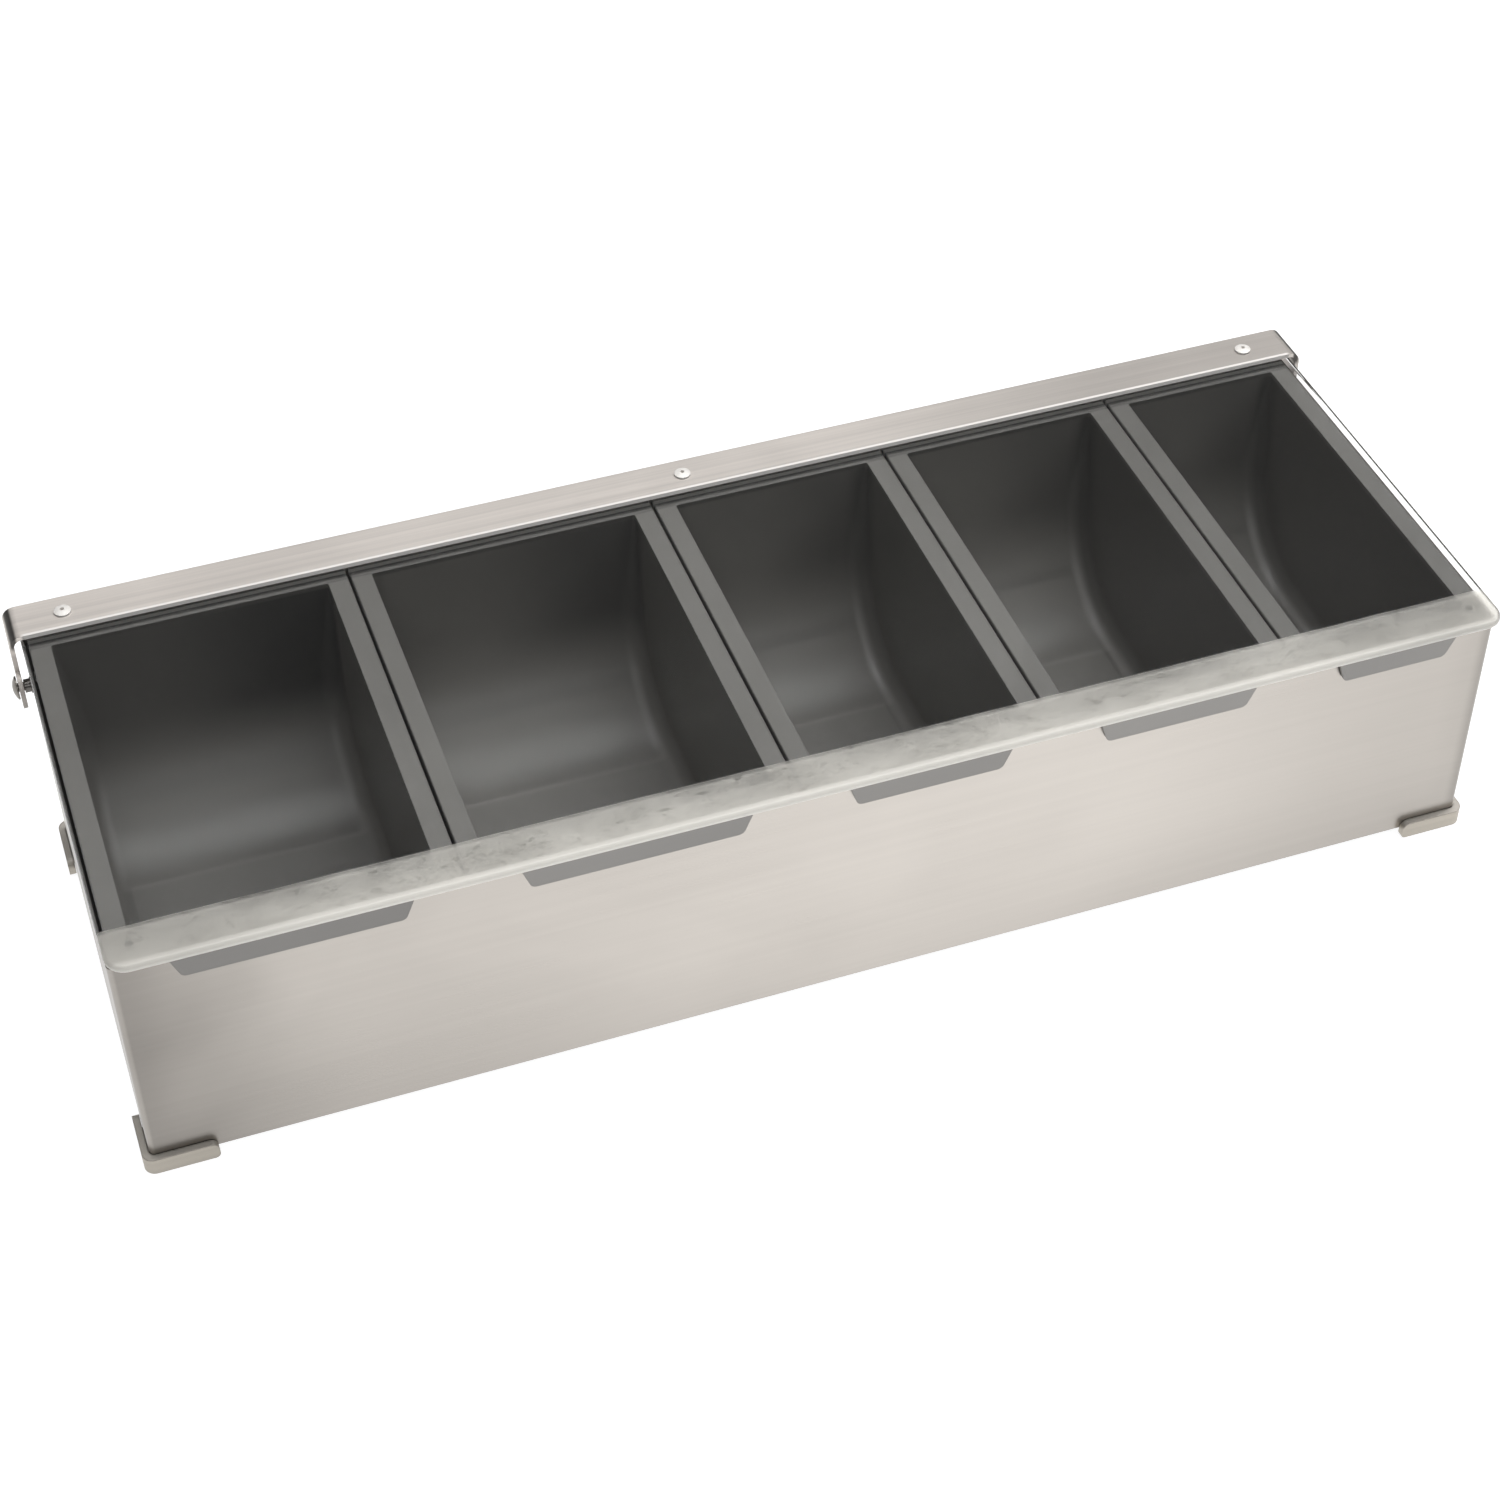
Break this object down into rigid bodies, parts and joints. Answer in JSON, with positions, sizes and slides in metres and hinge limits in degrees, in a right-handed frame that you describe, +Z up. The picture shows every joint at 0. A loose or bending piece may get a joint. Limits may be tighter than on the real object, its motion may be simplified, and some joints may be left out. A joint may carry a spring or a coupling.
{
  "type": "condiment caddy",
  "caption": "Long stainless tub with lift-out dark bins side by side, their pull tabs over the front, under one clear lid that swings up on a rear strap hinge.",
  "frame": {"origin": "on the table, at the middle of the tub's footprint", "axes": "+X along the row of bins to the right as seen from the front, +Y to the back (hinge side), +Z up"},
  "size_m": [0.4728, 0.1716, 0.1002],
  "materials": {
    "brushed_tub": "brushed along the length",
    "brushed_strap": "brushed along the length",
    "satin_foot": "satin",
    "bin_plastic": "moulded, semi-gloss",
    "clear_lid": "clear acrylic, front band frosted",
    "rivet_metal": "bright",
    "small_metal": "plain",
    "pin_metal": "polished",
    "bush_metal": "turned",
    "clear_rubber": "clear, soft"
  },
  "bodies": {
    "caddy": {"housing": "brushed_tub", "foot_front_left": "satin_foot", "foot_front_right": "satin_foot", "foot_rear_left": "satin_foot", "foot_rear_right": "satin_foot", "bin_1": "bin_plastic", "bin_2": "bin_plastic", "bin_3": "bin_plastic", "bin_4": "bin_plastic", "bin_5": "bin_plastic", "pivot_pin_left": "pin_metal", "pivot_pin_right": "pin_metal", "pivot_bush_left": "bush_metal", "pivot_bush_right": "bush_metal", "pivot_nut_left": "small_metal", "pivot_nut_right": "small_metal"},
    "lid": {"lid_panel": "clear_lid", "hinge_strap": "brushed_strap", "lid_rivets": "rivet_metal", "lid_washers": "small_metal", "lid_bumpers": "clear_rubber"}
  },
  "joints": [
    {"name": "lid_hinge", "type": "hinge", "parent": "caddy", "child": "lid", "pos_m": [0, 0.072, 0.0775], "axis": [-1, 0, 0], "range_deg": [0, 118]}
  ]
}
